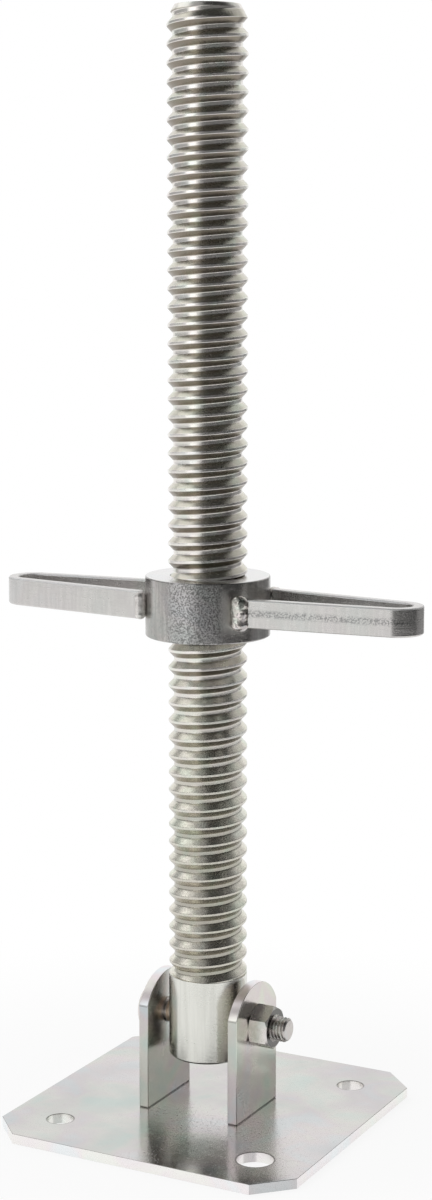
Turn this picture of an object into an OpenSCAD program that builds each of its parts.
// Swivel base jack for scaffolding: a square base plate with two ears, a coarse threaded spindle that
// tilts on a bolt between them, and a collar nut with two hairpin handles that climbs the spindle.
// Millimetres. Origin: centre of the plate's underside. +Z up, +X along the pivot bolt to its nut.

/* [Base plate] */
// Side of the square plate
plate_size = 160; // [120:1:220]
// Thickness of the plate
plate_t = 5; // [3:0.5:12]
// Leg of the chamfer that cuts each corner
plate_corner = 16.4; // [0:0.2:30]
// Circle that the four nail and bolt holes lie on, one on each diagonal
hole_circle_d = 150.5; // [100:0.5:180]
// Diameter of the two large holes
large_hole_d = 17.5; // [10:0.5:22]
// Diameter of the two small holes
small_hole_d = 13; // [6:0.5:20]

/* [Ears] */
// Gap between the two ears
ear_gap = 44; // [40:0.5:60]
// Thickness of an ear
ear_t = 5; // [3:0.5:10]
// Width of an ear
ear_w = 43; // [36:0.5:60]
// Height of an ear above the plate, at the crown of its top arc
ear_h = 65.4; // [58:0.1:90]
// Radius of the ear's top arc, which meets the upright edges at a soft corner
ear_top_r = 24; // [22:0.5:60]
// Height of the pivot bolt above the plate
pivot_h = 44.45; // [40:0.05:60]
// Leg of the fillet weld along an ear's foot
ear_weld_leg = 4; // [2:0.5:8]
// Length of that weld that is left off at each end
ear_weld_inset = 2; // [0:0.5:10]

/* [Pivot bolt and nut] */
// Nominal diameter of the bolt
bolt_d = 12; // [8:1:16]
// Length of the bolt under its head
bolt_l = 71.5; // [66:0.5:100]
// Width across flats of the bolt head and of its nut
bolt_af = 19; // [16:0.5:26]
// Height of the bolt head
head_h = 7.5; // [4:0.5:12]
// Height of the nut
nut_h = 10; // [6:0.5:14]
// Radial clearance of the bolt in the ears
ear_hole_clearance = 0.25; // [0.05:0.05:1]
// Radial clearance of the bolt in the spindle's foot, a running fit
foot_bore_clearance = 0.1; // [0.02:0.01:0.1]
// Radial clearance between the bolt and the nut's bore, where the fine threads would mesh
nut_bore_clearance = 0.05; // [0.02:0.01:0.2]
// Chamfer at the free end of the bolt
bolt_end_chamfer = 1.2; // [0:0.1:2]

/* [Spindle] */
// Diameter of the spindle over its thread crests
spindle_d = 38; // [30:0.5:48]
// How much thicker the plain foot is than the thread, the plating on an uncut face
foot_extra_d = 0.3; // [0.1:0.1:1]
// Length of the spindle, end to end
spindle_l = 504; // [300:1:800]
// Height of the pivot above the bottom of the spindle's foot
foot_drop = 18.4; // [12:0.1:30]
// Length of the plain foot below the thread
foot_l = 41.5; // [38:0.5:60]
// Chamfer at the bottom of the foot
foot_chamfer = 1; // [0:0.1:3]
// Height of the cone that eases the spindle's top end
tip_l = 4; // [1:0.5:10]
// Radius of the flat top end
tip_r = 14.8; // [10:0.1:18]
// Advance of the thread in one turn
thread_pitch = 8.6; // [7:0.1:12]
// Depth of the thread groove
thread_depth = 2.65; // [1.5:0.05:3.5]
// Width of the flat on the thread crest
crest_w = 1.1; // [0.5:0.1:2]
// Width of the flat in the thread root
root_w = 1.7; // [0.5:0.1:2.5]
// Angle round the spindle at which a crest reaches the top end
thread_start = 218; // [0:1:359]

/* [Jack nut] */
// Diameter of the collar
collar_d = 60; // [54:0.5:80]
// Height of the collar
collar_h = 29; // [20:0.5:50]
// Chamfer on the collar's outer edges
collar_chamfer = 1; // [0.2:0.1:3]
// Chamfer at both mouths of the collar's bore
bore_chamfer = 1.2; // [0.2:0.1:3]
// Radial clearance between the collar's bore and the thread crests
collar_clearance = 0.35; // [0.3:0.05:1]
// Height of the collar's underside above the ground, where the jack stands at rest
collar_z = 240.6; // [100:0.1:400]

/* [Handles] */
// Distance from the spindle's axis to a handle's tip
handle_reach = 111; // [90:0.5:160]
// Thickness of the handle bar
handle_t = 5; // [3:0.5:8]
// Height of the handle bar
handle_h = 13.5; // [8:0.5:25]
// Outer radius of the bend at the handle's tip
handle_bend_r = 12.4; // [9:0.1:20]
// Angle by which each leg opens out towards the collar
handle_splay = 6.3; // [0:0.1:10]
// Rounding of the bar's long edges
handle_round = 1; // [0.2:0.1:2]
// How far the handles sit above the middle of the collar
handle_lift = 0.6; // [-4:0.1:4]
// Gap between the collar and what is welded to it
weld_gap = 0.3; // [0.1:0.05:0.6]
// Radius of a weld bead
bead_r = 4.2; // [3:0.1:6]
// How far a bead runs past the bar's top and bottom edges
bead_over = 1.7; // [0:0.1:3]

/* [Hidden] */

// Smoothness of round faces, and the number of flats round one turn of the thread
round_fn = 96;
thread_seg = 24;
// Colours of the plated steel
BRIGHT = "gainsboro";
SPINDLE_GREY = "darkgray";
COLLAR_GREY = "gray";
HANDLE_GREY = "silver";
WELD_GREY = "lightgray";

// Base
ear_x = ear_gap / 2;
pivot_z = plate_t + pivot_h;
// Centre of the ear's top arc, above the plate
ear_arc_z = ear_h - ear_top_r;
cut = 1; // how far a cutting body runs past the face that it cuts

// Pivot bolt
hex_chamfer = 0.12 * bolt_d;
head_face_x = -ear_x - ear_t;

// Spindle
spindle_r = spindle_d / 2;
foot_r = (spindle_d + foot_extra_d) / 2;
foot_z = pivot_z - foot_drop;
top_z = foot_z + spindle_l;
thread_z = foot_z + foot_l;
root_r = spindle_r - thread_depth;
flank_w = (thread_pitch - crest_w - root_w) / 2;
thread_turns = ceil((top_z - thread_z) / thread_pitch) + 2;
tip_slope = (spindle_r - tip_r) / tip_l;
// One pitch of the thread, as radius and height: two corners of the crest, then two of the root
thread_profile = [[spindle_r, -crest_w / 2], [spindle_r, crest_w / 2],
                  [root_r, crest_w / 2 + flank_w], [root_r, crest_w / 2 + flank_w + root_w]];

// Jack nut
collar_r = collar_d / 2;
collar_bore_r = spindle_r + collar_clearance;
weld_r = collar_r + weld_gap;
handle_z = collar_z + collar_h / 2 + handle_lift;
bend_inner_r = handle_bend_r - handle_t;
bend_x = handle_reach - handle_bend_r;
bend_lap = 0.3; // how far a straight leg runs into the bend, so that the two fuse
leg_slack = 0.03; // how much slimmer a straight leg is than the bend, on each side
// Plan directions of the right handle's back leg: along it to the collar, and outwards across it
leg_dir = [-cos(handle_splay), sin(handle_splay)];
leg_out = [sin(handle_splay), cos(handle_splay)];
// The leg ends where its inner edge reaches the collar
leg_start = [bend_x, 0] + leg_out * bend_inner_r;
leg_reach = leg_start * leg_dir;
leg_l = -leg_reach - sqrt(leg_reach * leg_reach - leg_start * leg_start + weld_r * weld_r);
leg_outer_end = leg_start + leg_dir * leg_l + leg_out * handle_t;
// A bead lies in the corner between the leg's outer face and the collar
bead_angle = atan2(leg_outer_end[1], leg_outer_end[0]) + 3;
bead_at = (weld_r + bead_r / 4) * [cos(bead_angle), sin(bead_angle)];
bead_h = handle_h + 2 * bead_over;
bead_ripples = 5;
ripple_step = (bead_h - 2 * bead_r) / (bead_ripples - 1);

// Revolves a profile given as [radius, height] points round Z
module turned(points) {
    rotate_extrude($fn = round_fn) polygon(points);
}

// A round bar or hole along +X from x0 to x1 at the pivot's height
module cross_bar(r, x0, x1) {
    translate([x0, 0, pivot_z]) rotate([0, 90, 0]) cylinder(h = x1 - x0, r = r, $fn = round_fn);
}

// A hexagon along +X with a corner up, its free corners eased by a cone at one end or at both
module hex_block(x, h, both_ends) {
    corner_r = bolt_af / 2 / cos(30);
    eased_r = corner_r - hex_chamfer;
    drop = hex_chamfer / 2;
    start = both_ends ? [[0, 0], [eased_r, 0], [corner_r, drop]] : [[0, 0], [corner_r, 0]];
    translate([x, 0, pivot_z]) rotate([0, 90, 0])
        intersection() {
            cylinder(h = h, r = corner_r, $fn = 6);
            turned(concat(start, [[corner_r, h - drop], [eased_r, h], [0, h]]));
        }
}

module base_plate() {
    half = plate_size / 2;
    c = half - plate_corner;
    color(BRIGHT)
    difference() {
        linear_extrude(plate_t)
            polygon([[half, -c], [half, c], [c, half], [-c, half], [-half, c], [-half, -c], [-c, -half], [c, -half]]);
        for (i = [0:3])
            rotate([0, 0, 45 + 90 * i]) translate([hole_circle_d / 2, 0, -cut])
                cylinder(h = plate_t + 2 * cut, d = i % 2 == 0 ? small_hole_d : large_hole_d, $fn = round_fn);
    }
}

// An ear that stands on the plate, its inner or outer face at x and its thickness towards +X
module ear(x) {
    color(BRIGHT)
    difference() {
        translate([x, 0, plate_t]) rotate([90, 0, 90])
            linear_extrude(ear_t)
                intersection() {
                    translate([-ear_w / 2, 0]) square([ear_w, ear_h]);
                    union() {
                        translate([0, ear_arc_z]) circle(r = ear_top_r, $fn = round_fn);
                        translate([-ear_w / 2, 0]) square([ear_w, ear_arc_z]);
                    }
                }
        cross_bar(bolt_d / 2 + ear_hole_clearance, x - cut, x + ear_t + cut);
    }
}

module left_ear() {
    ear(-ear_x - ear_t);
}

module right_ear() {
    ear(ear_x);
}

// A fillet weld along an ear's foot, on the face at x that looks towards -X
module ear_weld(x) {
    length = ear_w - 2 * ear_weld_inset;
    color(WELD_GREY)
        translate([x, length / 2, plate_t]) rotate([90, 0, 0])
            linear_extrude(length)
                intersection() {
                    circle(r = ear_weld_leg, $fn = round_fn);
                    translate([-ear_weld_leg, 0]) square(ear_weld_leg);
                }
}

module left_ear_weld() {
    ear_weld(-ear_x - ear_t);
}

module right_ear_weld() {
    ear_weld(ear_x);
}

module pivot_bolt() {
    r = bolt_d / 2;
    color(BRIGHT)
    union() {
        mirror([1, 0, 0]) hex_block(-head_face_x, head_h, false);
        translate([head_face_x, 0, pivot_z]) rotate([0, 90, 0])
            turned([[0, 0], [r, 0], [r, bolt_l - bolt_end_chamfer], [r - bolt_end_chamfer, bolt_l], [0, bolt_l]]);
    }
}

module pivot_nut() {
    x = ear_x + ear_t;
    color(BRIGHT)
    difference() {
        hex_block(x, nut_h, true);
        cross_bar(bolt_d / 2 + nut_bore_clearance, x - cut, x + nut_h + cut);
    }
}

// Corner k of the thread's outline in the half plane at step i round the bar
function thread_point(k, i) =
    let (p = thread_profile[k % 4], a = 360 * i / thread_seg)
    [p[0] * cos(a), p[0] * sin(a), p[1] + thread_pitch * (floor(k / 4) + i / thread_seg)];

// A right-handed single-start screw. Its surface is one strip of four bands that winds up the bar: after a
// full turn the strip's row k has climbed one pitch and lies on row k + 4 of the first column.
module screw(turns) {
    n = thread_seg;
    last = 4 * turns;
    low = n * (last + 1);
    high = low + 1;
    points = concat([for (k = [0:last], i = [0:n - 1]) thread_point(k, i)],
                    [[0, 0, 0], [0, 0, thread_pitch * turns]]);
    function at(k, i) = i < n ? k * n + i : (k + 4) * n;
    // Crest and root bands are flat between two steps, and flanks are split in two
    bands = [for (k = [0:last - 1], i = [0:n - 1]) if (i < n - 1 || k + 5 <= last)
             each (k % 2 == 0
                   ? [[at(k, i), at(k + 1, i), at(k + 1, i + 1), at(k, i + 1)]]
                   : [[at(k, i), at(k + 1, i), at(k + 1, i + 1)], [at(k, i), at(k + 1, i + 1), at(k, i + 1)]])];
    bottom = concat([for (i = [0:n - 1]) [low, at(0, i), at(0, i + 1)]],
                    [for (k = [0:3]) [low, at(k + 1, 0), at(k, 0)]]);
    top = concat([for (i = [0:n - 2]) [high, at(last, i + 1), at(last, i)]],
                 [[high, at(last - 4, n), at(last - 4, n - 1)]],
                 [for (k = [last - 4:last - 1]) [high, at(k, n - 1), at(k + 1, n - 1)]]);
    polyhedron(points, concat(bands, bottom, top), convexity = 10);
}

module spindle() {
    color(SPINDLE_GREY)
    difference() {
        union() {
            turned([[0, foot_z], [foot_r - foot_chamfer, foot_z], [foot_r, foot_z + foot_chamfer],
                    [foot_r, thread_z], [0, thread_z]]);
            intersection() {
                translate([0, 0, top_z - thread_pitch * (thread_turns - 1 + thread_start / 360)])
                    screw(thread_turns);
                turned([[0, thread_z - cut], [spindle_r + cut, thread_z - cut],
                        [spindle_r + cut, top_z - tip_l - cut / tip_slope], [tip_r, top_z], [0, top_z]]);
            }
        }
        cross_bar(bolt_d / 2 + foot_bore_clearance, -spindle_d, spindle_d);
    }
}

module nut_collar() {
    b = bore_chamfer;
    c = collar_chamfer;
    color(COLLAR_GREY)
        translate([0, 0, collar_z])
            turned([[collar_bore_r + b, 0], [collar_r - c, 0], [collar_r, c],
                    [collar_r, collar_h - c], [collar_r - c, collar_h], [collar_bore_r + b, collar_h],
                    [collar_bore_r, collar_h - b], [collar_bore_r, b]]);
}

// Section of the handle bar with its edges rounded: inner face at x, drawn in by slack all round
module bar_section(x, slack) {
    r = handle_round;
    t = handle_t - 2 * slack;
    h = handle_h - 2 * slack;
    translate([x + slack, -h / 2]) {
        translate([r, 0]) square([t - 2 * r, h]);
        translate([0, r]) square([t, h - 2 * r]);
        for (u = [r, t - r], v = [r, h - r])
            translate([u, v]) circle(r = r, $fn = 24);
    }
}

// A hairpin of flat bar to the right of the collar: a round bend at the tip and two legs that open out
module hairpin() {
    translate([0, 0, handle_z]) {
        translate([bend_x, 0, 0]) rotate([0, 0, handle_splay - 90])
            rotate_extrude(angle = 180 - 2 * handle_splay, $fn = round_fn) bar_section(bend_inner_r, 0);
        leg();
        mirror([0, 1, 0]) leg();
    }
}

// The hairpin's back leg, from the bend to the collar
module leg() {
    translate([bend_x, 0, 0]) rotate([0, 0, -handle_splay]) translate([-leg_l, 0, 0])
        rotate([90, 0, 90]) linear_extrude(leg_l + bend_lap) bar_section(bend_inner_r, leg_slack);
}

module left_handle() {
    color(HANDLE_GREY) rotate([0, 0, 180]) hairpin();
}

module right_handle() {
    color(HANDLE_GREY) hairpin();
}

// The bead at the right handle's back leg: a row of ripples, cut back to the collar and to the leg
module bead() {
    color(WELD_GREY)
    difference() {
        translate([bead_at[0], bead_at[1], handle_z])
            rotate_extrude($fn = 48)
                intersection() {
                    for (i = [0:bead_ripples - 1])
                        translate([0, -bead_h / 2 + bead_r + i * ripple_step]) circle(r = bead_r, $fn = 48);
                    translate([0, -bead_h]) square([2 * bead_r, 2 * bead_h]);
                }
        translate([0, 0, handle_z - bead_h])
            cylinder(h = 2 * bead_h, r = weld_r, $fn = round_fn);
        leg_space();
    }
}

// The whole room on the inner side of the leg's outer face, beyond the leg's end
module leg_space() {
    depth = 2 * handle_t;
    translate([bend_x, 0, handle_z - bead_h]) rotate([0, 0, -handle_splay])
        translate([-leg_l, handle_bend_r - depth, 0])
            cube([leg_l, depth, 2 * bead_h]);
}

module right_back_bead() {
    bead();
}

module right_front_bead() {
    mirror([0, 1, 0]) bead();
}

module left_front_bead() {
    rotate([0, 0, 180]) bead();
}

module left_back_bead() {
    rotate([0, 0, 180]) mirror([0, 1, 0]) bead();
}

base_plate();
left_ear();
right_ear();
left_ear_weld();
right_ear_weld();
pivot_bolt();
pivot_nut();
spindle();
nut_collar();
left_handle();
right_handle();
left_front_bead();
left_back_bead();
right_front_bead();
right_back_bead();
